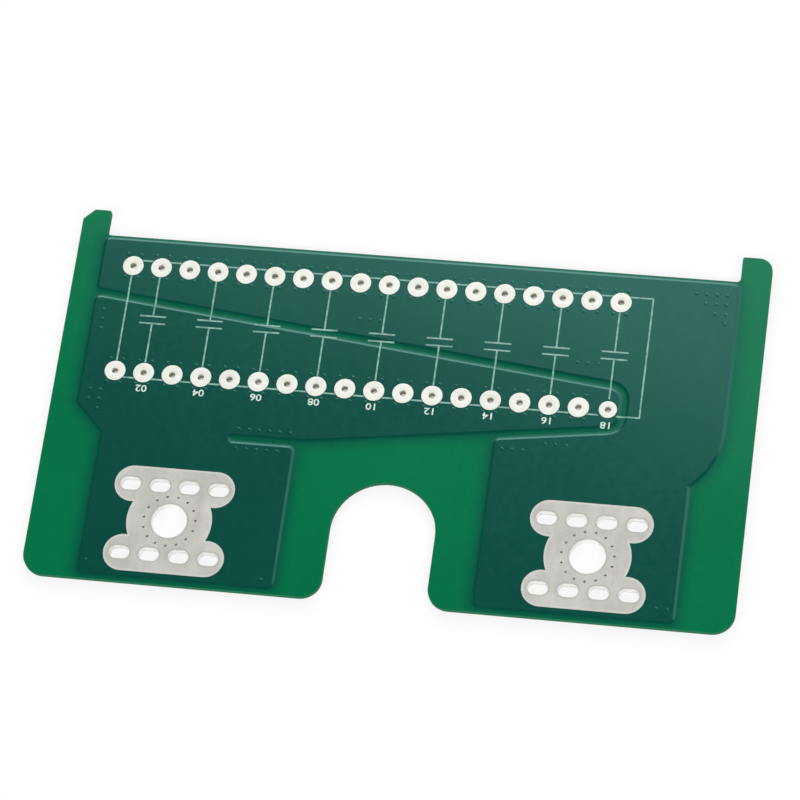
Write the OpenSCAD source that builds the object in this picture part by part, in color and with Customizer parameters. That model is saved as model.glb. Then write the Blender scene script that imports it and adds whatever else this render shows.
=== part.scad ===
// Power board for a bank of two-lead capacitors: a glass-epoxy core with heavy copper areas on both
// faces, plated lead holes, two screw terminals with solder slots, and a printed legend.
// It lies flat: X runs along the long edge, Y towards the two ears, Z up out of the front face.
// The origin is under the middle of the board, on the surface that it lies on.

/* [Board] */
// Width of the board
board_w = 166; // [150:0.5:190]
// Height of the board without its ears
body_h = 87.8; // [85:0.1:100]
// Thickness of the glass-epoxy core
core_t = 1.6; // [0.8:0.1:3.2]
// Radius of the two lower corners
corner_r = 5.2; // [2:0.1:8]
// Width of the left ear
left_ear_w = 6.6; // [5:0.1:8]
// Width of the right ear
right_ear_w = 7.2; // [5:0.1:8]
// Height of the ears above the top edge
ear_h = 6.5; // [4:0.1:10]
// Radius of the right ear's outer corner
ear_r = 3.2; // [1:0.1:4]
// Bevel of the left ear's outer corner
ear_bevel = 2.6; // [1:0.1:4]
// Radius of an ear's inner corner
ear_tip_r = 0.5; // [0.2:0.1:1]
// Radius of the fillet where an ear leaves the top edge
ear_root_r = 0.9; // [0.3:0.1:3]

/* [Notch] */
// Width of the round-topped notch in the lower edge
notch_w = 24.7; // [16:0.1:32]
// Depth of the notch
notch_depth = 29.9; // [22:0.1:34]
// Radius of the notch's mouth
notch_mouth_r = 5; // [2:0.1:8]

/* [Copper areas] */
// Thickness of the copper on each face
copper_t = 0.21; // [0.07:0.01:0.4]
// From the board's left edge to the copper
left_margin = 6.75; // [3:0.05:9]
// From the board's right edge to the copper
right_margin = 7.55; // [3:0.05:9]
// From the top edge to the copper
top_margin = 1.15; // [0.5:0.05:2]
// From the lower edge to the copper
foot_margin = 1.5; // [0.5:0.05:2]
// Width of the bare strip between the two copper areas
strip_w = 2.5; // [1.5:0.1:3.5]
// From the upper row down to the strip, at its left end
strip_drop = 7.5; // [6:0.1:9]
// From the lower row up to the strip, at its right end
strip_rise = 6.2; // [5.5:0.1:8]
// From the last column to the end of the lower copper area
tip_reach = 2.3; // [2.2:0.05:4]
// From the lower row down to the copper's edge, at the last column
tip_drop = 4; // [3.5:0.1:6]
// From the board's side to the outer edge of a tongue
tongue_margin = 13.9; // [11:0.1:16]
// Width of a tongue
tongue_w = 45.5; // [40:0.1:50]
// Offset of the two tongues from the middle of the board
tongue_shift = -0.2; // [-1:0.1:1]
// Height of the left tongue
left_tongue_h = 35; // [32:0.1:37]
// Depth of the bare slit over the left tongue
slit_depth = 15.5; // [8:0.1:20]
// Height of the left shoulder, where the copper narrows to its tongue
left_shoulder_y = 37; // [32:0.1:42]
// Rise of the left shoulder
left_shoulder_h = 6.9; // [4:0.1:10]
// Height of the right shoulder, where the copper narrows to its tongue
right_shoulder_y = 35.2; // [32:0.1:42]
// Rise of the right shoulder, before its long curve
right_shoulder_h = 5.8; // [4:0.1:8]
// Radius of the copper's corners
copper_r = 1.1; // [0.5:0.1:1.2]

/* [Capacitor holes] */
// Number of columns of lead holes
columns = 18; // [4:2:18]
// Distance from column to column
column_pitch = 6.9; // [5.5:0.05:7.1]
// Distance from the upper row to the lower row, the lead spacing of a capacitor
row_pitch = 27.5; // [24:0.5:30]
// From the board's left edge to the first column
first_column = 14.2; // [12:0.1:16]
// From the top edge of the board to the upper row
upper_row_drop = 7.7; // [6:0.1:9]
// Diameter of a lead hole
lead_hole_d = 1.5; // [0.8:0.05:2]
// Diameter of the tinned land round a lead hole
land_d = 5; // [3.5:0.05:5.2]
// Diameter of the land at the end of the lower row
end_land_d = 4.25; // [3.5:0.05:4.4]

/* [Plating] */
// Thickness of the plating in the holes
plating_t = 0.05; // [0.03:0.01:0.1]
// Height of the tinned lands over the copper
land_t = 0.05; // [0.03:0.01:0.1]

/* [Terminals] */
// From the left tongue's outer edge to the left terminal
left_terminal_in = 19.35; // [18:0.05:22]
// From the right tongue's outer edge to the right terminal
right_terminal_in = 20.9; // [18:0.05:22]
// Height of the terminals above the lower edge
terminal_y = 15.75; // [15:0.05:18]
// Diameter of the screw hole
screw_hole_d = 8.4; // [6:0.1:9]
// Diameter of the round land under the screw
screw_land_d = 20.2; // [16:0.1:22]
// From the screw to the middle of each bar-shaped land
bar_offset = 8.65; // [8:0.05:9]
// Width of a bar-shaped land
bar_w = 9; // [7:0.1:10]
// Length of a bar-shaped land
bar_l = 28.6; // [26:0.1:32]
// Length of a solder slot
slot_l = 4.8; // [3.5:0.1:5.5]
// Width of a solder slot
slot_w = 3.2; // [2:0.1:3.4]
// Distance from slot to slot
slot_pitch = 7; // [6:0.1:7.5]
// Number of slots in each bar
slots = 4; // [2:2:4]
// Number of small vias in the ring round the screw
ring_vias = 15; // [6:1:24]
// Diameter of the ring of small vias
ring_d = 12.3; // [11:0.1:13]
// Diameter of a via's open hole in the ring
ring_via_d = 0.7; // [0.3:0.05:0.8]

/* [Stitching vias] */
// Diameter of a drilled via
via_d = 0.6; // [0.4:0.05:0.8]
// From a pad to its vias, along the row
pad_via_x = 1.55; // [1.2:0.05:1.8]
// From a pad to its vias, across the row
pad_via_y = 3; // [2.9:0.05:3.4]
// Distance from via to via in a group
via_pitch = 2.45; // [2:0.05:3]

/* [Legend] */
// Thickness of the printed ink
ink_t = 0.03; // [0.01:0.01:0.05]
// Width of a printed line
line_w = 0.38; // [0.2:0.02:0.6]
// Clear space between ink and a land
ink_clear = 0.15; // [0.1:0.05:0.4]
// From the upper row up to the frame's top line
frame_rise = 1.5; // [0.5:0.1:2]
// From the lower row down to the frame's bottom line
frame_drop = 1.55; // [0.5:0.05:2]
// From the last column to the frame's right line
frame_reach = 7.5; // [5:0.1:9]
// Width of a capacitor symbol's plates
plate_w = 6.3; // [4:0.1:6.5]
// Distance between the middles of a symbol's plates
plate_gap = 1.85; // [1:0.05:3]

/* [Hidden] */
overall_h = body_h + ear_h;
edge_x = board_w / 2;
corner_steps = 8;
cut_over = 1;

// Heights of the layers, from the tinned lands under the board to those on top
back_copper_z = land_t;
core_z = back_copper_z + copper_t;
front_copper_z = core_z + core_t;
face_z = front_copper_z + copper_t;
top_z = face_z + land_t;

// Rows and columns of lead holes
upper_row = body_h - upper_row_drop;
lower_row = upper_row - row_pitch;
function column_x(c) = -edge_x + first_column + c * column_pitch;
function lower_land_d(c) = c == columns - 1 ? end_land_d : land_d;
last_x = column_x(columns - 1);
drill_d = lead_hole_d + 2 * plating_t;

// Edges of the copper areas
left_x = -edge_x + left_margin;
right_x = edge_x - right_margin;
top_y = body_h - top_margin;
left_out_x = -edge_x + tongue_margin + tongue_shift;
left_in_x = left_out_x + tongue_w;
right_out_x = edge_x - tongue_margin + tongue_shift;
right_in_x = right_out_x - tongue_w;
left_tongue_y = foot_margin + left_tongue_h;
slit_top = left_tongue_y + strip_w;
slit_x = left_in_x - slit_depth;
tip_x = last_x + tip_reach;
bend_x = left_in_x + strip_w;
tip_r = strip_w;
shoulder_r = 2;
left_terminal_x = left_out_x + left_terminal_in;
right_terminal_x = right_out_x - right_terminal_in;
land_h = copper_t + land_t;

// The right shoulder is one long curve, which ends at a tight corner on the tongue
right_fall = [right_x - right_out_x, right_shoulder_h];
curve_share = 0.94;
right_curve_r = curve_share * norm(right_fall) / tan(atan2(right_fall[0], right_fall[1]) / 2);
tight_r = 0.5;

// Middle of the bare strip, and the lower edge of the lower copper area, as heights over x
strip_slope = (lower_row + strip_rise - upper_row + strip_drop) / (last_x - left_x);
function strip_y(x) = upper_row - strip_drop + strip_slope * (x - left_x);
keel_slope = (lower_row - tip_drop - slit_top) / (last_x - bend_x);
function keel_y(x) = slit_top + keel_slope * (x - bend_x);

// Corner points of the two copper areas, each with its radius
left_corners = [
    [left_x, strip_y(left_x) - strip_w / 2, copper_r],
    [left_x, left_shoulder_y + left_shoulder_h, shoulder_r],
    [left_out_x, left_shoulder_y, shoulder_r],
    [left_out_x, foot_margin, copper_r],
    [left_in_x, foot_margin, copper_r],
    [left_in_x, left_tongue_y, copper_r],
    [slit_x, left_tongue_y, copper_r],
    [slit_x, slit_top, copper_r],
    [bend_x, slit_top, shoulder_r],
    [tip_x, keel_y(tip_x), tip_r],
    [tip_x, strip_y(tip_x) - strip_w / 2, tip_r],
];
right_corners = [
    [left_x, top_y, copper_r],
    [left_x, strip_y(left_x) + strip_w / 2, copper_r],
    [tip_x + strip_w, strip_y(tip_x + strip_w) + strip_w / 2, tip_r + strip_w],
    [tip_x + strip_w, keel_y(tip_x + strip_w) - strip_w, tip_r + strip_w],
    [right_in_x, keel_y(right_in_x) - strip_w, copper_r],
    [right_in_x, foot_margin, copper_r],
    [right_out_x, foot_margin, copper_r],
    [right_out_x, right_shoulder_y, tight_r],
    [right_x, right_shoulder_y + right_shoulder_h, right_curve_r],
    [right_x, top_y, copper_r],
];

// Stitching vias join the front copper to the back copper
via_inset = 2.2;
corner_rows = 4;
function via_row(x, y, n) = [for (i = [0 : n - 1]) [x + i * via_pitch, y]];
function via_column(x, y, n) = [for (i = [0 : n - 1]) [x, y - i * via_pitch]];
function pad_vias(row, n) =
    [for (c = [0 : n - 1], sx = [-1, 1], sy = [-1, 1])
        [column_x(c) + sx * pad_via_x, row + sy * pad_via_y]];
corner_vias = [
    for (r = [0 : corner_rows - 1], c = [0 : corner_rows - 1 - r])
        [right_x - via_inset - c * via_pitch, top_y - 2.8 - r * via_pitch],
];
left_vias_at = concat(
    pad_vias(lower_row, columns - 1),
    via_column(left_x + via_inset, strip_y(left_x) - 4.5, 3),
    via_row(left_x + via_inset, left_shoulder_y + 10.4, 2),
    via_row(left_x + via_inset, left_shoulder_y + 8, 2),
    via_row(left_x + via_inset + via_pitch, left_shoulder_y + 5.6, 1),
    via_row(slit_x + via_inset, slit_top + 1.2, 6),
    via_row(slit_x + via_inset, left_tongue_y - 1.2, 5),
    via_row(left_out_x + 1.2, foot_margin + 3, 1),
    via_row(left_in_x - 2.6, foot_margin + 1.7, 1)
);
right_vias_at = concat(
    pad_vias(upper_row, columns),
    corner_vias,
    via_row(right_in_x + 1.7, keel_y(right_in_x) - strip_w - 2, 3),
    via_row(right_in_x + 11.6, keel_y(right_in_x) - strip_w, 3),
    via_row(last_x - 8.4, strip_y(last_x - 8.4) + 4.2, 3),
    via_row(column_x(8) + 1.1, strip_y(column_x(8)) + 5, 3),
    via_row(right_out_x - 3.9, foot_margin + 3, 2)
);

function two_digits(n) = str(n < 10 ? "0" : "", n);
upper_pads = [for (c = [1 : columns]) str("upper_pad_", two_digits(c))];
lower_pads = [for (c = [1 : columns]) str("lower_pad_", two_digits(c))];
$fn = 48;

mask_green = [0.05, 0.46, 0.28];
masked_copper = [0.1, 0.32, 0.28];
tin = [0.82, 0.82, 0.79];
ink_white = [0.93, 0.95, 0.93];

// Points round a corner p of radius p[2], between its neighbours a and b
function flat(p) = [p[0], p[1]];
function unit(v) = v / norm(v);
function short_turn(a) = a > 180 ? a - 360 : a < -180 ? a + 360 : a;
function corner_arc(a, p, b) =
    let (
        to_a = unit(flat(a) - flat(p)),
        to_b = unit(flat(b) - flat(p)),
        half = acos(to_a * to_b) / 2,
        centre = flat(p) + unit(to_a + to_b) * p[2] / sin(half),
        from = flat(p) + to_a * p[2] / tan(half) - centre,
        to = flat(p) + to_b * p[2] / tan(half) - centre,
        start = atan2(from[1], from[0]),
        sweep = short_turn(atan2(to[1], to[0]) - start)
    )
    [for (i = [0 : corner_steps])
        let (angle = start + sweep * i / corner_steps) centre + p[2] * [cos(angle), sin(angle)]];
function rounded(corners) =
    let (n = len(corners))
    [for (i = [0 : n - 1]) each corner_arc(corners[(i + n - 1) % n], corners[i], corners[(i + 1) % n])];

// A layer of the board between two heights, drawn from the lower edge of the board up
module layer(z, thickness) {
    translate([0, -overall_h / 2, z])
        linear_extrude(thickness)
            children();
}

// The sliver between a square corner and its round, inside the corner at the origin
module corner_sliver(r) {
    difference() {
        square(r);
        translate([r, r]) circle(r);
    }
}

// A corner sliver grown past the corner, to cut with
module corner_cut(r) {
    difference() {
        translate([-cut_over, -cut_over]) square(r + cut_over);
        translate([r, r]) circle(r);
    }
}

module stadium(length, width) {
    square([length - width, width], center = true);
    for (side = [-1, 1])
        translate([side * (length - width) / 2, 0]) circle(d = width);
}

// Outline of one ear, for the left edge of the board
module ear(width) {
    translate([-edge_x, body_h - ear_root_r]) square([width, ear_h + ear_root_r]);
    translate([-edge_x + width, body_h]) corner_sliver(ear_root_r);
}

// The inner corner of an ear, and the outer corners of the two ears
module ear_tip_cut(width) {
    translate([-edge_x + width, overall_h]) rotate(180) corner_cut(ear_tip_r);
}

module left_ear_cuts() {
    reach = ear_bevel + cut_over;
    translate([-edge_x, overall_h])
        polygon([[-cut_over, cut_over], [reach, cut_over], [-cut_over, -reach]]);
    ear_tip_cut(left_ear_w);
}

module right_ear_cuts() {
    mirror([1, 0]) {
        translate([-edge_x, overall_h]) mirror([0, 1]) corner_cut(ear_r);
        ear_tip_cut(right_ear_w);
    }
}

module notch() {
    straight = notch_depth - notch_w / 2;
    translate([-notch_w / 2, -cut_over]) square([notch_w, straight + cut_over]);
    translate([0, straight]) circle(d = notch_w, $fn = 96);
    for (side = [0, 1])
        mirror([side, 0]) translate([notch_w / 2, 0]) corner_cut(notch_mouth_r);
}

module board_outline() {
    difference() {
        union() {
            translate([-edge_x, 0]) square([board_w, body_h]);
            ear(left_ear_w);
            mirror([1, 0]) ear(right_ear_w);
        }
        left_ear_cuts();
        right_ear_cuts();
        for (side = [0, 1])
            mirror([side, 0]) translate([-edge_x, 0]) corner_cut(corner_r);
        notch();
    }
}

module at_slots() {
    for (i = [0 : slots - 1], side = [-1, 1])
        translate([(i - (slots - 1) / 2) * slot_pitch, side * bar_offset]) children();
}

// The holes of one terminal round its screw, each grown by the thickness of the plating
module terminal_holes(grow) {
    circle(d = screw_hole_d + 2 * grow, $fn = 96);
    at_slots() stadium(slot_l + 2 * grow, slot_w + 2 * grow);
    for (i = [0 : ring_vias - 1])
        rotate(-90 + i * 360 / ring_vias)
            translate([ring_d / 2, 0]) circle(d = ring_via_d + 2 * grow);
}

module terminal_land() {
    circle(d = screw_land_d, $fn = 96);
    for (side = [-1, 1])
        translate([0, side * bar_offset]) stadium(bar_l, bar_w);
}

module via_holes(points) {
    for (at = points)
        translate(at) circle(d = via_d);
}

// Every drilled or milled hole in the core
module core_holes() {
    for (c = [0 : columns - 1], row = [lower_row, upper_row])
        translate([column_x(c), row]) circle(d = drill_d);
    for (x = [left_terminal_x, right_terminal_x])
        translate([x, terminal_y]) terminal_holes(plating_t);
    via_holes(left_vias_at);
    via_holes(right_vias_at);
}

// The copper areas leave room for the lands, which reach down to the core
module left_area() {
    difference() {
        polygon(rounded(left_corners));
        for (c = [0 : columns - 1])
            translate([column_x(c), lower_row]) circle(d = lower_land_d(c));
        translate([left_terminal_x, terminal_y]) terminal_land();
        via_holes(left_vias_at);
    }
}

module right_area() {
    difference() {
        polygon(rounded(right_corners));
        for (c = [0 : columns - 1])
            translate([column_x(c), upper_row]) circle(d = land_d);
        translate([right_terminal_x, terminal_y]) terminal_land();
        via_holes(right_vias_at);
    }
}

module laminate() {
    color(mask_green)
        layer(core_z, core_t)
            difference() {
                board_outline();
                core_holes();
            }
}

module front_left_copper() color(masked_copper) layer(front_copper_z, copper_t) left_area();
module front_right_copper() color(masked_copper) layer(front_copper_z, copper_t) right_area();
module back_left_copper() color(masked_copper) layer(back_copper_z, copper_t) left_area();
module back_right_copper() color(masked_copper) layer(back_copper_z, copper_t) right_area();

// A plated lead hole: a barrel through the board with a tinned land at each end
module lead_pad(c, row, d) {
    color(tin)
        translate([column_x(c), row - overall_h / 2, 0])
            rotate_extrude()
                polygon([
                    [lead_hole_d / 2, 0], [d / 2, 0], [d / 2, core_z], [drill_d / 2, core_z],
                    [drill_d / 2, front_copper_z], [d / 2, front_copper_z], [d / 2, top_z],
                    [lead_hole_d / 2, top_z],
                ]);
}

// A screw terminal: lands on both faces, joined by the plated walls of all its holes
module terminal(x) {
    color(tin)
        translate([x, terminal_y, 0]) {
            for (z = [0, front_copper_z])
                layer(z, land_h)
                    difference() {
                        terminal_land();
                        terminal_holes(0);
                    }
            layer(0, top_z)
                difference() {
                    terminal_holes(plating_t);
                    terminal_holes(0);
                }
        }
}

module left_terminal() terminal(left_terminal_x);
module right_terminal() terminal(right_terminal_x);

// Plated barrels between the outer faces of the front copper and the back copper
module via_barrels(points) {
    color(tin)
        layer(back_copper_z, face_z - back_copper_z)
            for (at = points)
                translate(at)
                    difference() {
                        circle(d = via_d);
                        circle(d = via_d - 2 * plating_t);
                    }
}

module left_vias() via_barrels(left_vias_at);
module right_vias() via_barrels(right_vias_at);

module line_across(x0, x1, y) {
    translate([x0 - line_w / 2, y - line_w / 2]) square([x1 - x0 + line_w, line_w]);
}

module line_up(x, y0, y1) {
    translate([x - line_w / 2, y0 - line_w / 2]) square([line_w, y1 - y0 + line_w]);
}

// A capacitor symbol between the two holes of a column
module capacitor_symbol(c) {
    x = column_x(c);
    middle = (upper_row + lower_row) / 2;
    half = (plate_w - line_w) / 2;
    for (side = [-1, 1])
        line_across(x - half, x + half, middle + side * plate_gap / 2);
    line_up(x, middle + plate_gap / 2, upper_row);
    line_up(x, lower_row, middle - plate_gap / 2);
}

module legend_lines() {
    frame_top = upper_row + frame_rise;
    frame_foot = lower_row - frame_drop;
    difference() {
        union() {
            for (y = [frame_foot, frame_top])
                line_across(column_x(0), last_x + frame_reach, y);
            for (x = [column_x(0), last_x + frame_reach])
                line_up(x, frame_foot, frame_top);
            for (c = [1 : 2 : columns - 1])
                capacitor_symbol(c);
        }
        for (c = [0 : columns - 1], row = [upper_row, lower_row])
            translate([column_x(c), row]) circle(d = land_d + 2 * ink_clear);
    }
}

// Ink on the copper, and lower down where a line crosses the bare strip
module legend() {
    color(ink_white) {
        layer(face_z, ink_t)
            intersection() {
                legend_lines();
                union() {
                    polygon(rounded(left_corners));
                    polygon(rounded(right_corners));
                }
            }
        layer(front_copper_z, ink_t)
            difference() {
                legend_lines();
                polygon(rounded(left_corners));
                polygon(rounded(right_corners));
            }
    }
}

laminate();
front_left_copper();
front_right_copper();
back_left_copper();
back_right_copper();
left_terminal();
right_terminal();
left_vias();
right_vias();
legend();
for (c = [0 : columns - 1])
    lead_pad(c, upper_row, land_d);
for (c = [0 : columns - 1])
    lead_pad(c, lower_row, lower_land_d(c));
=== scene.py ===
import math

import bmesh
import bpy
from mathutils import Matrix, Vector
from mathutils.bvhtree import BVHTree
from mathutils.kdtree import KDTree


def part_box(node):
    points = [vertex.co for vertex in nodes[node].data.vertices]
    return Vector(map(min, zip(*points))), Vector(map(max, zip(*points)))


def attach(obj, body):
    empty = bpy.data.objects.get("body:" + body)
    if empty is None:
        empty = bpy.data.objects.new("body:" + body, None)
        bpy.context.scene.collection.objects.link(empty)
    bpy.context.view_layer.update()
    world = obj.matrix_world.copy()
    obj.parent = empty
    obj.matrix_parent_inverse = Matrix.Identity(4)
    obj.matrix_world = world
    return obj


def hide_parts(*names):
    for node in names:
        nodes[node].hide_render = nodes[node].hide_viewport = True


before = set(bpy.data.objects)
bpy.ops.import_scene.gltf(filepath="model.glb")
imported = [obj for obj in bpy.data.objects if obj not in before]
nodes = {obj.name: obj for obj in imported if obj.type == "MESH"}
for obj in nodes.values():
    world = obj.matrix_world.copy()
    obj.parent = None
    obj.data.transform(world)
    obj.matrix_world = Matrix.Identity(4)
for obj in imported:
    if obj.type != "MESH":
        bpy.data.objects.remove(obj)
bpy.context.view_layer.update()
mm = 0.001
weld = 0.002 * mm  # corners nearer than this are one
fineWeld = 0.001 * mm
flatAngle = math.radians(0.5)  # faces that bend less than this are joined
flatNormal = 0.9  # a face whose normal has more z than this is flat
wallNormal = 0.5  # and one with less z than this is a wall
noiseBand = (0.3, 0.7)  # holds most of a noise texture's values
scene = bpy.context.scene
print("frame loaded,", len(nodes), "nodes")


# small helpers for node trees

def addNode(tree, kind, x, y, **values):
    node = tree.nodes.new(kind)
    node.location = (x, y)
    for key, value in values.items():
        setattr(node, key, value)
    return node


def setInputs(node, **values):
    for key, value in values.items():
        node.inputs[key].default_value = value
    return node


def newGroup(name, inputs, outputs):
    tree = bpy.data.node_groups.new(name, "ShaderNodeTree")
    for label, default in inputs:
        socket = tree.interface.new_socket(label, in_out="INPUT", socket_type="NodeSocketFloat")
        socket.default_value = default
    for label, kind in outputs:
        tree.interface.new_socket(label, in_out="OUTPUT", socket_type=kind)
    return tree, addNode(tree, "NodeGroupInput", -1200, 0), addNode(tree, "NodeGroupOutput", 900, 0)


def newMaterial(name):
    material = bpy.data.materials.new(name)
    material.use_nodes = True
    tree = material.node_tree
    return material, tree, tree.nodes["Principled BSDF"]


def addMath(tree, operation, x, y, a, b, clamp=False):
    node = addNode(tree, "ShaderNodeMath", x, y, operation=operation, use_clamp=clamp)
    for socket, value in zip(node.inputs, (a, b)):
        if isinstance(value, (int, float)):
            socket.default_value = value
        else:
            tree.links.new(value, socket)
    return node.outputs[0]


def addMix(tree, x, y, factor, a, b, blend="MIX"):
    node = addNode(tree, "ShaderNodeMix", x, y, data_type="RGBA", blend_type=blend)
    for label, value in (("Factor", factor), ("A", a), ("B", b)):
        socket = next(s for s in node.inputs if s.name == label and s.enabled)
        if isinstance(value, (int, float, tuple)):
            socket.default_value = value
        else:
            tree.links.new(value, socket)
    return next(s for s in node.outputs if s.enabled)


def addRange(tree, x, y, value, fromLow, fromHigh, toLow, toHigh):
    node = addNode(tree, "ShaderNodeMapRange", x, y)
    setInputs(node, **{"From Min": fromLow, "From Max": fromHigh, "To Min": toLow, "To Max": toHigh})
    tree.links.new(value, node.inputs["Value"])
    return node.outputs["Result"]


def addNoise(tree, x, y, place, scale, detail, roughness=0.5):
    node = addNode(tree, "ShaderNodeTexNoise", x, y)
    setInputs(node, Scale=scale, Detail=detail, Roughness=roughness)
    tree.links.new(place, node.inputs["Vector"])
    return node.outputs["Fac"]


# solder mask: one coat, green over the bare core and dark teal over copper

maskLook = {
    "coreDeep": (0.0006, 0.140, 0.054, 1), "coreLight": (0.0016, 0.167, 0.063, 1),
    "copperDeep": (0.0012, 0.058, 0.043, 1), "copperLight": (0.0020, 0.069, 0.049, 1),
    "patchScale": 24, "peelScale": 520, "grainScale": 2600, "weavePitch": 1.1 * mm,
    "weaveTint": 0.02, "weaveBump": 0.35, "grainTint": 0.05, "bump": 0.08, "bumpDistance": 0.02 * mm,
    "roughLow": 0.13, "roughHigh": 0.18, "coreShine": 0.28, "edgeShine": 0.40, "copperShine": 0.55,
    # painted highlight: the tents' share of copper colour is a little under 1, so they are painted a touch
    # lighter than the mask on flat copper
    "shineTint": (0.42, 1.0, 0.92, 1), "tentShare": 0.95,
}
waveTurn = 0.31416  # a wave texture's period at scale 1


def makeMaskCoat():
    look = maskLook
    tree, given, result = newGroup("maskCoat", [("OverCopper", 0.0)], [
        ("Color", "NodeSocketColor"), ("Rough", "NodeSocketFloat"), ("Height", "NodeSocketFloat")])
    place = addNode(tree, "ShaderNodeTexCoord", -1200, 300).outputs["Object"]
    patch = addNoise(tree, -900, 500, place, look["patchScale"], 3)
    peel = addNoise(tree, -900, 250, place, look["peelScale"], 2)
    grain = addNoise(tree, -900, 0, place, look["grainScale"], 1)
    weave = []
    for row, axis in enumerate(("X", "Y")):
        wave = addNode(tree, "ShaderNodeTexWave", -900, -250 - 250 * row, bands_direction=axis)
        setInputs(wave, Scale=waveTurn / look["weavePitch"], Distortion=1.2, Detail=1.0)
        wave.inputs["Detail Scale"].default_value = 0.4
        tree.links.new(place, wave.inputs["Vector"])
        weave.append(wave.outputs["Fac"])
    cloth = addMath(tree, "MULTIPLY", -650, -350, weave[0], weave[1])
    blotch = addRange(tree, -650, 500, patch, *noiseBand, 0, 1)
    core = addMix(tree, -400, 400, blotch, look["coreDeep"], look["coreLight"])
    copper = addMix(tree, -400, 150, blotch, look["copperDeep"], look["copperLight"])
    coat = addMix(tree, -150, 300, given.outputs["OverCopper"], core, copper)
    clothTint = addRange(tree, -400, -300, cloth, 0, 1, 1 + look["weaveTint"], 1 - look["weaveTint"])
    grainTint = addRange(tree, -400, -50, grain, *noiseBand, 1 - look["grainTint"], 1 + look["grainTint"])
    tint = addMath(tree, "MULTIPLY", -150, -150, clothTint, grainTint)
    toned = addMix(tree, 150, 250, 1.0, coat, tint, "MULTIPLY")
    tree.links.new(toned, result.inputs["Color"])
    rough = addRange(tree, 150, 0, peel, *noiseBand, look["roughLow"], look["roughHigh"])
    tree.links.new(rough, result.inputs["Rough"])
    threads = addMath(tree, "MULTIPLY", -150, -400, cloth, look["weaveBump"])
    height = addMath(tree, "ADD", 150, -250, peel, threads)
    tree.links.new(height, result.inputs["Height"])
    return tree


def makeMask(name, coatGroup, overCopper, shine):
    material, tree, shader = newMaterial(name)
    coat = addNode(tree, "ShaderNodeGroup", -500, 0, node_tree=coatGroup)
    if overCopper is None:  # the mesh gives the share at each corner, which carries painted shade near the copper
        fade = addNode(tree, "ShaderNodeAttribute", -800, 0, attribute_name="overCopper")
        tree.links.new(fade.outputs["Fac"], coat.inputs["OverCopper"])
    else:
        coat.inputs["OverCopper"].default_value = overCopper
    bump = addNode(tree, "ShaderNodeBump", -250, -250)
    setInputs(bump, Strength=maskLook["bump"], Distance=maskLook["bumpDistance"])
    tree.links.new(coat.outputs["Height"], bump.inputs["Height"])
    tree.links.new(coat.outputs["Color"], shader.inputs["Base Color"])
    tree.links.new(coat.outputs["Rough"], shader.inputs["Roughness"])
    tree.links.new(bump.outputs["Normal"], shader.inputs["Normal"])
    shader.inputs["Specular IOR Level"].default_value = maskLook[shine]
    shader.inputs["Specular Tint"].default_value = maskLook["shineTint"]
    return material


# tinned copper: levelled solder, whiter on the small pads, greyer and streaked on the terminals

tinGrain = {
    "drawn": (1.0, 0.22, 1.0), "cloudScale": 210, "streakScale": 620, "crystalScale": 2400,
    "crystalShare": 0.5, "shadeBand": (0.35, 0.65), "roughBand": (0.4, 0.6), "bumpDistance": 0.02 * mm,
}


def makeTinGrain():
    tree, given, result = newGroup("tinGrain", [("Streak", 1.0)], [
        ("Mottle", "NodeSocketFloat"), ("Height", "NodeSocketFloat")])
    place = addNode(tree, "ShaderNodeTexCoord", -1200, 300).outputs["Object"]
    drawn = addNode(tree, "ShaderNodeMapping", -1000, 0)
    drawn.inputs["Scale"].default_value = tinGrain["drawn"]
    tree.links.new(place, drawn.inputs["Vector"])
    cloud = addNoise(tree, -750, 400, place, tinGrain["cloudScale"], 3)
    streak = addNoise(tree, -750, 150, drawn.outputs["Vector"], tinGrain["streakScale"], 2)
    crystal = addNoise(tree, -750, -100, place, tinGrain["crystalScale"], 2)
    wide = addMath(tree, "MULTIPLY", -450, 150, streak, given.outputs["Streak"])
    soft = addMath(tree, "ADD", -250, 300, cloud, wide)
    fine = addMath(tree, "MULTIPLY", -450, -100, crystal, tinGrain["crystalShare"])
    mixed = addMath(tree, "ADD", 0, 200, soft, fine)
    top = addMath(tree, "ADD", -250, 0, given.outputs["Streak"], 1 + tinGrain["crystalShare"])
    tree.links.new(addMath(tree, "DIVIDE", 250, 150, mixed, top), result.inputs["Mottle"])
    tree.links.new(addMath(tree, "ADD", 250, -100, cloud, fine), result.inputs["Height"])
    return tree


def makeTin(name, grainGroup, look):
    material, tree, shader = newMaterial(name)
    grain = addNode(tree, "ShaderNodeGroup", -700, 0, node_tree=grainGroup)
    grain.inputs["Streak"].default_value = look["streak"]
    mottle = grain.outputs["Mottle"]
    spread = addRange(tree, -600, 200, mottle, *tinGrain["shadeBand"], 0, 1)
    # painted highlight and shade: the mesh's rim value lightens the solder at the land's edge and darkens it
    # round the hole mouths
    rim = addNode(tree, "ShaderNodeAttribute", -800, 300, attribute_name="rim")  # bright at the land's edge
    lift = addMath(tree, "MULTIPLY", -600, 350, rim.outputs["Fac"], look["rimLift"])
    shade = addMath(tree, "ADD", -400, 250, spread, lift)
    tree.links.new(addMix(tree, -200, 200, shade, look["dull"], look["bright"]), shader.inputs["Base Color"])
    rough = addRange(tree, -450, -50, mottle, *tinGrain["roughBand"], look["roughLow"], look["roughHigh"])
    tree.links.new(rough, shader.inputs["Roughness"])
    bump = addNode(tree, "ShaderNodeBump", -250, -300)
    setInputs(bump, Strength=look["bump"], Distance=tinGrain["bumpDistance"])
    tree.links.new(grain.outputs["Height"], bump.inputs["Height"])
    tree.links.new(bump.outputs["Normal"], shader.inputs["Normal"])
    shader.inputs["Metallic"].default_value = look["metallic"]
    return material


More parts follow.
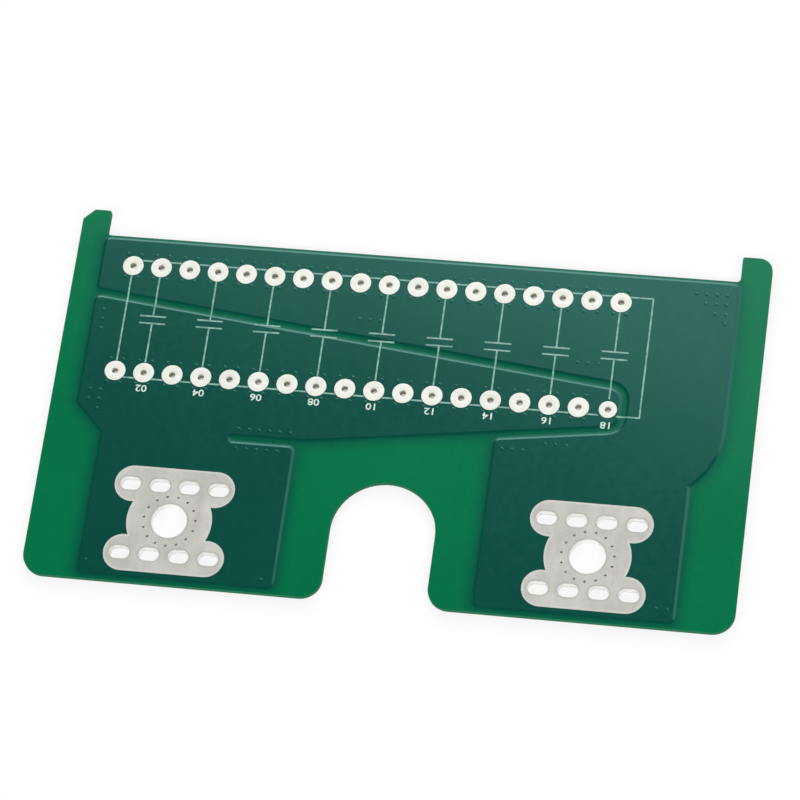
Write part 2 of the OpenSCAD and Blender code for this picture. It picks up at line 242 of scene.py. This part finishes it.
padTin = {
    "dull": (0.775, 0.785, 0.715, 1), "bright": (0.865, 0.875, 0.82, 1), "streak": 0.3, "rimLift": 0.0,
    "roughLow": 0.38, "roughHigh": 0.55, "bump": 0.15, "metallic": 0.1,
}
terminalTin = {
    "dull": (0.462, 0.462, 0.424, 1), "bright": (0.60, 0.60, 0.56, 1), "streak": 0.5, "rimLift": 1.0,
    "roughLow": 0.42, "roughHigh": 0.62, "bump": 0.15, "metallic": 0.15,
}
wallTin = {  # walls of the lead holes, darker and browner than the pads
    "dull": (0.49, 0.48, 0.39, 1), "bright": (0.64, 0.63, 0.53, 1), "streak": 0.6, "rimLift": 0.0,
    "roughLow": 0.5, "roughHigh": 0.7, "bump": 0.2, "metallic": 0.2,
}
slotTin = {  # walls of the screw holes and slots, painted much lighter than the same solder on the land: painted light
    "dull": (0.84, 0.83, 0.80, 1), "bright": (0.94, 0.93, 0.91, 1), "streak": 0.3, "rimLift": 0.0,
    "roughLow": 0.35, "roughHigh": 0.5, "bump": 0.15, "metallic": 0.1,
}


# printed legend: thin white ink that lets some of the green through

inkLook = {"thin": (0.13, 0.31, 0.26, 1), "full": (0.28, 0.49, 0.42, 1), "scale": 900}
inkCover = {"band": (0.35, 0.6), "roughLow": 0.5, "roughHigh": 0.75}
numberLook = {"thin": (0.44, 0.62, 0.55, 1), "full": (0.78, 0.86, 0.81, 1), "scale": 1500}


def makeInk(name, look):
    material, tree, shader = newMaterial(name)
    place = addNode(tree, "ShaderNodeTexCoord", -900, 0).outputs["Object"]
    speckle = addNoise(tree, -700, 100, place, look["scale"], 2)
    cover = addRange(tree, -450, 100, speckle, *inkCover["band"], 0, 1)
    tree.links.new(addMix(tree, -200, 100, cover, look["thin"], look["full"]), shader.inputs["Base Color"])
    rough = addRange(tree, -450, -150, cover, 0, 1, inkCover["roughLow"], inkCover["roughHigh"])
    tree.links.new(rough, shader.inputs["Roughness"])
    return material


# routed edge of the core: resin and glass in plies

edgeLook = {
    "resin": (0.008, 0.15, 0.065, 1), "glass": (0.04, 0.21, 0.11, 1), "ply": 0.2 * mm, "dustScale": 1800,
    "roughLow": 0.55, "roughHigh": 0.8, "shine": 0.1,
}


def makeCutEdge(name):
    material, tree, shader = newMaterial(name)
    look = edgeLook
    place = addNode(tree, "ShaderNodeTexCoord", -1100, 0).outputs["Object"]
    plies = addNode(tree, "ShaderNodeTexWave", -800, 150, bands_direction="Z")
    setInputs(plies, Scale=waveTurn / look["ply"], Distortion=1.5, Detail=1.0)
    tree.links.new(place, plies.inputs["Vector"])
    dust = addNoise(tree, -800, -150, place, look["dustScale"], 2)
    blend = addMath(tree, "MULTIPLY", -500, 50, plies.outputs["Fac"], dust)
    tree.links.new(addMix(tree, -250, 100, blend, look["resin"], look["glass"]), shader.inputs["Base Color"])
    rough = addRange(tree, -500, -200, dust, *noiseBand, look["roughLow"], look["roughHigh"])
    tree.links.new(rough, shader.inputs["Roughness"])
    shader.inputs["Specular IOR Level"].default_value = look["shine"]
    return material


coatGroup = makeMaskCoat()
grainGroup = makeTinGrain()
coreMask = makeMask("coreMask", coatGroup, None, "coreShine")
copperMask = makeMask("copperMask", coatGroup, 1.0, "copperShine")
edgeMask = makeMask("edgeMask", coatGroup, None, "edgeShine")
# painted highlight: the tents are a touch lighter than the mask on flat copper
tentMask = makeMask("tentMask", coatGroup, maskLook["tentShare"], "copperShine")
padMetal = makeTin("padTin", grainGroup, padTin)
terminalMetal = makeTin("terminalTin", grainGroup, terminalTin)
wallMetal = makeTin("wallTin", grainGroup, wallTin)
slotMetalPaintedLight = makeTin("slotTin", grainGroup, slotTin)
lineInk = makeInk("lineInk", inkLook)
numberInk = makeInk("numberInk", numberLook)
cutEdge = makeCutEdge("cutEdge")
print("materials made")


# meshes

def finishPiece(name, bm, materials, replaced=()):
    for edge in bm.edges:  # a flat face beside a smooth one keeps its own shade
        edge.smooth = all(face.smooth for face in edge.link_faces)
    mesh = bpy.data.meshes.new(name)
    bm.to_mesh(mesh)
    bm.free()
    for material in materials:
        mesh.materials.append(material)
    piece = bpy.data.objects.new(name, mesh)
    scene.collection.objects.link(piece)
    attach(piece, "root")
    if replaced:
        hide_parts(*replaced)
    return piece


def copyNode(name):
    bm = bmesh.new()
    bm.from_mesh(nodes[name].data)
    bmesh.ops.remove_doubles(bm, verts=bm.verts, dist=weld)
    bmesh.ops.dissolve_limit(
        bm, angle_limit=flatAngle, use_dissolve_boundaries=False, verts=bm.verts, edges=bm.edges)
    bm.normal_update()
    return bm


def rimEdges(bm, z):
    # edges between a flat face at height z and a wall
    found = []
    for edge in bm.edges:
        if len(edge.link_faces) == 2 and all(abs(v.co.z - z) < weld for v in edge.verts):
            flat = [abs(face.normal.z) > flatNormal for face in edge.link_faces]
            if flat[0] != flat[1]:
                found.append(edge)
    return found


def splitLoops(edges):
    # groups edges that share corners into closed loops
    left = set(edges)
    loops = []
    while left:
        loop, reach = [], [left.pop()]
        while reach:
            edge = reach.pop()
            loop.append(edge)
            for vert in edge.verts:
                for other in vert.link_edges:
                    if other in left:
                        left.remove(other)
                        reach.append(other)
        loops.append(loop)
    return loops


def loopSpan(loop):
    spots = [vert.co.xy for edge in loop for vert in edge.verts]
    return max(max(p[k] for p in spots) - min(p[k] for p in spots) for k in (0, 1))


def outerLoop(bm, z):
    return max(splitLoops(rimEdges(bm, z)), key=loopSpan)


def roundRims(bm, rims, look):
    bmesh.ops.bevel(
        bm, geom=rims, offset=look["bevel"], offset_type="OFFSET", segments=look["segments"], profile=0.5,
        affect="EDGES", material=-1)
    bm.normal_update()


def spinChain(bm, chain, lines, centre, segments):
    bmesh.ops.spin(
        bm, geom=chain + lines, cent=(centre.x, centre.y, 0), axis=(0, 0, 1), angle=math.tau, steps=segments,
        use_merge=True, use_duplicate=False)


def coatNode(nodeName, material):
    nodes[nodeName].data.materials.clear()
    nodes[nodeName].data.materials.append(material)


# core: the mask lies on both faces with painted shade near the copper, and the routed edge stays bare

coreEdge = {"bevel": 0.08 * mm, "segments": 2}
paintedCoreShade = {"reach": 4.4 * mm, "grid": 1.5 * mm, "sample": 0.25 * mm}
coreLow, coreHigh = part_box("laminate")


def paintedShadeNearCopper():
    # painted shade: share of copper in the colour at a point of the core, by its distance from the copper's
    # outline
    spots = []
    for side in ("left", "right"):
        source = copyNode("front_" + side + "_copper")
        for edge in outerLoop(source, coreHigh.z):
            first, last = (Vector((vert.co.x, vert.co.y, 0)) for vert in edge.verts)
            count = math.ceil((last - first).length / paintedCoreShade["sample"])
            spots += [first.lerp(last, step / count) for step in range(count)]
        source.free()
    outline = KDTree(len(spots))
    for index, spot in enumerate(spots):
        outline.insert(spot, index)
    outline.balance()

    def paintedShadeAt(spot):
        gap = outline.find(Vector((spot.x, spot.y, 0)))[2]
        return max(0.0, 1 - gap / paintedCoreShade["reach"]) ** 2
    return paintedShadeAt


def cutGrid(bm):
    for axis in (0, 1):
        across = coreHigh[axis] - coreLow[axis]
        count = round(across / paintedCoreShade["grid"])
        along = Vector((axis == 0, axis == 1, 0))
        for step in range(1, count):
            spot = along * (coreLow[axis] + across * step / count)
            parts = bm.verts[:] + bm.edges[:] + bm.faces[:]
            bmesh.ops.bisect_plane(bm, geom=parts, dist=fineWeld, plane_co=spot, plane_no=along)


def makeCore():
    bm = copyNode("laminate")
    rims = outerLoop(bm, coreLow.z) + outerLoop(bm, coreHigh.z)
    roundRims(bm, rims, coreEdge)
    cutGrid(bm)
    bm.normal_update()
    for face in bm.faces:
        face.material_index = 0 if abs(face.normal.z) > wallNormal else 1
    paintedShadeAt = paintedShadeNearCopper()
    layer = bm.verts.layers.float.new("overCopper")
    for vert in bm.verts:
        vert[layer] = paintedShadeAt(vert.co)
    return finishPiece("maskedCore", bm, [coreMask, cutEdge], ["laminate"])


makeCore()
print("core made")


# a sweep carries a row of steps round a loop of edges: outward reach and height in mm, then layer values

sweepClose = 0.00001 * mm  # the last step lies on the first
mitreLimit = 0.5


def sweepLoops(loops, steps, layerNames, baseHeight, up):
    bm = bmesh.new()
    layers = [bm.verts.layers.float.new(name) for name in layerNames]
    edges, outward, start, twins = [], {}, {}, {}
    for edge in (edge for loop in loops for edge in loop):
        wall = next(face for face in edge.link_faces if abs(face.normal.z) < flatNormal)
        for vert in edge.verts:
            if vert not in twins:
                twins[vert] = bm.verts.new(vert.co)
                start[twins[vert]] = vert.co.xy.copy()
                outward[twins[vert]] = []
            outward[twins[vert]].append(wall.normal.xy.normalized())
        edges.append(bm.edges.new([twins[vert] for vert in edge.verts]))
    for vert, (one, two) in outward.items():  # mitred at the corners
        middle = (one + two).normalized()
        outward[vert] = middle / max(middle.dot(one), mitreLimit)
    ring = list(start)
    for count, (reach, height, *values) in enumerate(steps):
        if count:
            made = bmesh.ops.extrude_edge_only(bm, edges=edges)["geom"]
            ring = [part for part in made if isinstance(part, bmesh.types.BMVert)]
            fresh = set(ring)
            edges = [part for part in made if isinstance(part, bmesh.types.BMEdge)
                     and fresh.issuperset(part.verts)]
            for vert in ring:
                old = next(e.other_vert(vert) for e in vert.link_edges if e.other_vert(vert) not in fresh)
                outward[vert], start[vert] = outward[old], start[old]
        for vert in ring:
            vert.co.xy = start[vert] + outward[vert] * reach * mm
            vert.co.z = baseHeight + up * height * mm
            for layer, value in zip(layers, values):
                vert[layer] = value
    bmesh.ops.remove_doubles(bm, verts=bm.verts, dist=sweepClose)
    bmesh.ops.recalc_face_normals(bm, faces=bm.faces)
    for face in bm.faces:
        face.smooth = face.normal.z * up > wallNormal
    return bm


# mask over the copper's edges: it runs down in a slope and thins out over the core beside it, with painted
# shade in its colour there

# reach, height above the core, and share of copper in the colour, painted shade past the slope's foot, which
# ends as the core's painted shade begins
slopeSteps = [
    (-0.02, 0.2102, 1.0), (0.004, 0.2102, 1.0), (0.03, 0.204, 1.0), (0.08, 0.187, 1.0), (0.20, 0.146, 0.97),
    (0.32, 0.105, 0.91), (0.44, 0.065, 0.84), (0.54, 0.034, 0.78), (0.63, 0.015, 0.735), (0.75, 0.008, 0.69),
    (0.90, 0.004, 0.63), (1.08, 0.002, 0.57), (1.08, -0.01, 0.57), (-0.01, -0.01, 1.0), (-0.01, 0.20, 1.0),
    (-0.02, 0.20, 1.0), (-0.02, 0.2102, 1.0),
]


def makeMaskEdge(name, nodeName, coreFace, up):
    source = copyNode(nodeName)
    bm = sweepLoops([outerLoop(source, coreFace)], slopeSteps, ("overCopper",), coreFace, up)
    source.free()
    coatNode(nodeName, copperMask)
    return finishPiece(name, bm, [edgeMask])


frontSlopes = []
for side in ("left", "right"):
    frontSlopes.append(makeMaskEdge(side + "FrontMaskEdge", "front_" + side + "_copper", coreHigh.z, 1))
    makeMaskEdge(side + "BackMaskEdge", "back_" + side + "_copper", coreLow.z, -1)
print("mask edges made")


# mask tents over the stitching vias, on both faces

tent = {"radius": 0.46 * mm, "rise": 0.048 * mm, "segments": 12}
# shares of the radius and of the rise: the mask sags over the via
tentSteps = [(1.0, 0.0), (0.86, 0.45), (0.73, 0.86), (0.6, 1.0), (0.3, 0.93), (0.0, 0.88)]
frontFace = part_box("front_left_copper")[1].z
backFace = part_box("back_left_copper")[0].z


def viaCentres(nodeName):
    bm = bmesh.new()
    bm.from_mesh(nodes[nodeName].data)
    bmesh.ops.remove_doubles(bm, verts=bm.verts, dist=weld)
    left = set(bm.verts)
    centres = []
    while left:
        reach, island = [left.pop()], []
        while reach:
            vert = reach.pop()
            island.append(vert.co.copy())
            for edge in vert.link_edges:
                other = edge.other_vert(vert)
                if other in left:
                    left.remove(other)
                    reach.append(other)
        centres.append(sum(island, Vector()) / len(island))
    bm.free()
    return centres


def makeTents(name, nodeName):
    bm = bmesh.new()
    for centre in viaCentres(nodeName):
        for face, up in ((frontFace, 1), (backFace, -1)):
            spots = [(centre.x + tent["radius"] * out, centre.y, face + up * tent["rise"] * rise)
                     for out, rise in tentSteps]
            chain = [bm.verts.new(spot) for spot in spots]
            lines = [bm.edges.new(pair) for pair in zip(chain, chain[1:])]
            spinChain(bm, chain, lines, centre, tent["segments"])
    bmesh.ops.remove_doubles(bm, verts=bm.verts, dist=weld)
    bmesh.ops.holes_fill(bm, edges=bm.edges, sides=tent["segments"])
    bmesh.ops.recalc_face_normals(bm, faces=bm.faces)
    for face in bm.faces:
        face.smooth = len(face.verts) <= 4  # all but the flat underside
    return finishPiece(name, bm, [tentMask])


for side in ("left", "right"):
    makeTents(side + "ViaTents", side + "_vias")
    coatNode(side + "_vias", wallMetal)
print("via tents made")


# lead pads: levelled solder crowns a land at each end of the plated hole

eyelet = {"hole": 0.75 * mm, "stain": 0.01 * mm, "segments": 48}
# distance from the hole's wall, then from the land's edge, each with the depth below the crown, in mm
mouthProfile = [(0.0, 0.12), (0.025, 0.035), (0.10, 0.006)]
edgeProfile = [(0.12, 0.003), (0.036, 0.01), (0.0, 0.04)]


def makeEyelet(name):
    low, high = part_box(name)
    middle = (low + high) / 2
    radius = (high.x - low.x) / 2
    wall = eyelet["hole"]
    steps = []
    for end, up in ((high.z, 1), (low.z, -1)):
        half = [(wall + out * mm, end - up * depth * mm) for out, depth in mouthProfile]
        half.append(((wall + radius) / 2, end))
        half += [(radius - back * mm, end - up * depth * mm) for back, depth in edgeProfile]
        steps += half if up > 0 else half[::-1]
    bm = bmesh.new()
    chain = [bm.verts.new((middle.x + r, middle.y, z)) for r, z in steps]
    lines = [bm.edges.new(pair) for pair in zip(chain, chain[1:] + chain[:1])]
    spinChain(bm, chain, lines, middle, eyelet["segments"])
    bmesh.ops.remove_doubles(bm, verts=bm.verts, dist=fineWeld)
    bmesh.ops.recalc_face_normals(bm, faces=bm.faces)
    for face in bm.faces:
        spot = face.calc_center_median()
        face.smooth = True
        inner = (spot.xy - middle.xy).length < wall + eyelet["stain"]
        face.material_index = 1 if inner else 0
    return finishPiece(name + "Eyelet", bm, [padMetal, wallMetal], [name])


for name in sorted(nodes):
    if "_pad_" in name:
        makeEyelet(name)
print("lead pads made")


# screw terminals: a solder brim at the land's edge with a painted highlight, and painted shade round the
# mouths of the holes

terminalEdge = {
    "bevel": 0.04 * mm, "segments": 2, "smallest": 1.2 * mm, "sink": 0.0025 * mm, "inset": 0.1 * mm,
}
# reach, height above the land, and the painted rim light: above 0 a painted highlight, below 0 painted shade
brimSteps = [
    (-0.62, 0.0002, 0.0), (-0.45, 0.0016, 0.35), (-0.28, 0.0020, 0.9), (-0.10, 0.0012, 1.0),
    (-0.01, -0.002, 1.0), (0.003, -0.03, 1.0), (-0.06, -0.03, 1.0), (-0.10, -0.02, 1.0),
    (-0.62, -0.02, 0.0), (-0.62, 0.0002, 0.0),
]
# the mouths carry painted shade: their rim values below 0 darken the solder
mouthSteps = [
    (-0.60, 0.0002, 0.0), (-0.42, 0.0012, -0.3), (-0.24, 0.0014, -0.75), (-0.10, 0.0004, -0.9),
    (-0.02, -0.014, -0.6), (0.002, -0.05, 0.0), (-0.06, -0.05, 0.0), (-0.10, -0.02, -0.5),
    (-0.60, -0.02, 0.0), (-0.60, 0.0002, 0.0),
]


def makeTerminal(name):
    low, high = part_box(name)
    bm = copyNode(name)
    rims = []
    for end, up, face in ((low.z, -1, "Back"), (high.z, 1, "Front")):
        flats = [vert for vert in bm.verts if abs(vert.co.z - end) < weld]
        end -= up * terminalEdge["sink"]  # leaves room for the brim
        for vert in flats:
            vert.co.z = end
        loops = [loop for loop in splitLoops(rimEdges(bm, end)) if loopSpan(loop) > terminalEdge["smallest"]]
        brim = max(loops, key=loopSpan)
        mouths = [loop for loop in loops if loop is not brim]
        for part, turns, steps in (("Brim", [brim], brimSteps), ("Mouths", mouths, mouthSteps)):
            swept = sweepLoops(turns, steps, ("rim",), end, up)
            finishPiece(name + face + part, swept, [terminalMetal])
        rims += [edge for loop in loops for edge in loop]
    roundRims(bm, rims, terminalEdge)
    middle = (low + high) / 2
    for face in bm.faces:
        upright = abs(face.normal.z) < wallNormal
        depth = (high.z - low.z) / 2 - abs(face.calc_center_median().z - middle.z)
        inset = depth > terminalEdge["inset"]
        face.material_index = 1 if upright and inset else 0
        face.smooth = upright
    finishPiece(name + "Tinned", bm, [terminalMetal, slotMetalPaintedLight], [name])


for name in ("left_terminal", "right_terminal"):
    makeTerminal(name)
print("terminals made")


# legend: the printed lines drape over the mask's slopes, and plain column numbers are added

lineDrape = {
    "cuts": 18, "longest": 0.5 * mm, "sink": 0.01 * mm, "lift": 0.012 * mm, "skin": 0.01 * mm,
    "above": 10 * mm,
}


def makeLines():
    spots, corners = [], []
    for piece in frontSlopes:
        first = len(spots)
        spots += [vert.co.copy() for vert in piece.data.vertices]
        corners += [[first + index for index in face.vertices] for face in piece.data.polygons]
    slopes = BVHTree.FromPolygons(spots, corners)
    bm = copyNode("legend")
    half = (coreHigh.z + frontFace) / 2
    crossing = [edge for edge in bm.edges if edge.calc_length() > lineDrape["longest"]
                and all(vert.co.z < half for vert in edge.verts)]
    bmesh.ops.subdivide_edges(bm, edges=crossing, cuts=lineDrape["cuts"], use_grid_fill=True)
    for vert in bm.verts:
        if vert.co.z < half:
            above = Vector((vert.co.x, vert.co.y, lineDrape["above"]))
            hit = slopes.ray_cast(above, Vector((0, 0, -1)))[0]
            if hit:
                top = vert.co.z > coreHigh.z + lineDrape["skin"]
                vert.co.z = max(vert.co.z, hit.z + (lineDrape["lift"] if top else -lineDrape["sink"]))
    return finishPiece("printedLines", bm, [lineInk], ["legend"])


numbers = {
    "height": 1.65 * mm, "capShare": 0.7, "stretch": 1.2, "drop": 3.95 * mm, "thickness": 0.012 * mm,
    "extrude": 0.006, "bold": 0.012, "every": 2, "weld": 0.0005 * mm,
}


def makeNumbers():
    bm = bmesh.new()
    columns = sorted(name for name in nodes if name.startswith("lower_pad_"))
    for name in columns[numbers["every"] - 1::numbers["every"]]:
        low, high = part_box(name)
        middle = (low + high) / 2
        curve = bpy.data.curves.new("number", "FONT")
        curve.body = name[-2:]
        curve.align_x, curve.align_y = "CENTER", "CENTER"
        curve.extrude, curve.offset = numbers["extrude"], numbers["bold"]
        label = bpy.data.objects.new("number", curve)
        scene.collection.objects.link(label)
        bpy.context.view_layer.update()
        mesh = bpy.data.meshes.new_from_object(label.evaluated_get(bpy.context.evaluated_depsgraph_get()))
        bpy.data.objects.remove(label)
        size = numbers["height"] / numbers["capShare"]
        spot = Vector((middle.x, middle.y - numbers["drop"], frontFace + numbers["thickness"]))
        mesh.transform(
            Matrix.Translation(spot) @ Matrix.Rotation(math.pi, 4, "Z")
            @ Matrix.Diagonal((size * numbers["stretch"], size, size, 1)))
        bm.from_mesh(mesh)
        bpy.data.meshes.remove(mesh)
    bmesh.ops.remove_doubles(bm, verts=bm.verts, dist=numbers["weld"])
    return finishPiece("columnNumbers", bm, [numberInk])


makeLines()
makeNumbers()
print("legend made")


# floor, light and camera

studio = {
    "floorColor": (0.95, 0.95, 0.95, 1), "floorSize": 6.0, "floorGlow": 0.8, "darkGlow": 0.38,
    "darkCentre": (0.0, 19.2 * mm, 0.0), "darkReach": (70 * mm, 20 * mm),  # painted shade: the floor glows less under the lead holes
    "ringRadius": 6.4 * mm, "ringWidth": 0.9 * mm,  # and under the vias round the screw holes
    "worldColor": (1.0, 1.0, 1.0, 1), "worldStrength": 0.08,
}
lamps = {  # place, point it faces, turn in degrees, size, power and colour
    "ceilingLamp": ((0.484, 1.562, 1.8), (0.484, 1.562, 0.0), -15, (2.4, 1.8), 30.0, (1.0, 1.0, 1.0)),
    "backLamp": ((0.0, 1.7, 0.9), (0.0, 0.0, 0.0), 0, (2.4, 0.5), 22.0, (1.0, 1.0, 1.0)),
    "frontLeftLamp": ((-1.5, -1.5, 1.4), (0.0, 0.0, 0.0), 0, (1.4, 1.4), 31.0, (1.0, 1.0, 0.99)),
    "frontRightLamp": ((1.5, -1.5, 1.4), (0.0, 0.0, 0.0), 0, (1.4, 1.4), 31.0, (1.0, 1.0, 0.99)),
}
cameraView = {
    "spot": (0.14720, -0.37478, 0.89053), "turn": (23.831, 6.154, 7.640), "lens": 188.106, "sensor": 36.0,
}


def makeFloor():
    bm = bmesh.new()
    bmesh.ops.create_grid(bm, x_segments=1, y_segments=1, size=studio["floorSize"] / 2)
    mesh = bpy.data.meshes.new("floor")
    bm.to_mesh(mesh)
    bm.free()
    material, tree, shader = newMaterial("paleFloor")
    setInputs(shader, **{"Base Color": studio["floorColor"], "Roughness": 0.9, "Specular IOR Level": 0.0})
    glow = addNode(tree, "ShaderNodeEmission", 0, -300)
    rays = addNode(tree, "ShaderNodeLightPath", -500, 300).outputs
    seen = addMath(tree, "ADD", -250, 300, rays["Is Camera Ray"], rays["Is Glossy Ray"])
    seen = addMath(tree, "ADD", -100, 300, seen, rays["Is Transmission Ray"], clamp=True)
    place = addNode(tree, "ShaderNodeTexCoord", -1000, 600).outputs["Object"]
    shift = addNode(tree, "ShaderNodeVectorMath", -800, 600, operation="SUBTRACT")
    shift.inputs[1].default_value = studio["darkCentre"]
    tree.links.new(place, shift.inputs[0])
    spread = addNode(tree, "ShaderNodeVectorMath", -600, 600, operation="ABSOLUTE")
    tree.links.new(shift.outputs[0], spread.inputs[0])
    axes = addNode(tree, "ShaderNodeSeparateXYZ", -400, 600)
    tree.links.new(spread.outputs[0], axes.inputs[0])
    beyond = [addMath(tree, "GREATER_THAN", -200, 700 - 150 * row, axes.outputs[row], reach)
              for row, reach in enumerate(studio["darkReach"])]
    clear = addMath(tree, "MAXIMUM", 0, 600, *beyond)
    for row, name in enumerate(("left_terminal", "right_terminal")):
        y = 900 + 200 * row
        low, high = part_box(name)
        gap = addNode(tree, "ShaderNodeVectorMath", -800, y, operation="DISTANCE")
        gap.inputs[1].default_value = ((low.x + high.x) / 2, (low.y + high.y) / 2, 0)
        tree.links.new(place, gap.inputs[0])
        off = addMath(tree, "SUBTRACT", -600, y, gap.outputs["Value"], studio["ringRadius"])
        apart = addMath(tree, "ABSOLUTE", -400, y, off, 0)
        outside = addMath(tree, "GREATER_THAN", -200, y, apart, studio["ringWidth"])
        clear = addMath(tree, "MINIMUM", 100, y, clear, outside)
    # painted shade: the floor's glow drops to the lower level under the board's lead holes and vias
    level = addRange(tree, 50, 500, clear, 0, 1, studio["darkGlow"], studio["floorGlow"])
    share = addMath(tree, "MULTIPLY", 150, 300, seen, level)
    blend = addNode(tree, "ShaderNodeMixShader", 300, 200)
    tree.links.new(share, blend.inputs[0])
    tree.links.new(shader.outputs[0], blend.inputs[1])
    tree.links.new(glow.outputs[0], blend.inputs[2])
    tree.links.new(blend.outputs[0], tree.nodes["Material Output"].inputs["Surface"])
    mesh.materials.append(material)
    floor = bpy.data.objects.new("floor", mesh)
    scene.collection.objects.link(floor)


def addAreaLamp(name, spot, target, turn, size, power, color):
    lamp = bpy.data.lights.new(name, "AREA")
    lamp.shape = "RECTANGLE"
    lamp.size, lamp.size_y = size
    lamp.energy, lamp.color = power, color
    holder = bpy.data.objects.new(name, lamp)
    aim = (Vector(target) - Vector(spot)).to_track_quat("-Z", "Y").to_matrix().to_4x4()
    holder.matrix_world = Matrix.Translation(spot) @ Matrix.Rotation(math.radians(turn), 4, "Z") @ aim
    scene.collection.objects.link(holder)


def makeStudio():
    makeFloor()
    for name, setting in lamps.items():
        addAreaLamp(name, *setting)
    world = bpy.data.worlds.new("studioWorld")
    world.use_nodes = True
    background = world.node_tree.nodes["Background"]
    setInputs(background, Color=studio["worldColor"], Strength=studio["worldStrength"])
    scene.world = world
    camera = bpy.data.cameras.new("photoCamera")
    camera.lens, camera.sensor_width = cameraView["lens"], cameraView["sensor"]
    camera.clip_start, camera.clip_end = 0.01, 20
    holder = bpy.data.objects.new("photoCamera", camera)
    holder.location = cameraView["spot"]
    holder.rotation_euler = [math.radians(angle) for angle in cameraView["turn"]]
    scene.collection.objects.link(holder)
    scene.camera = holder
    scene.view_settings.view_transform = "Standard"


makeStudio()
print("studio made")
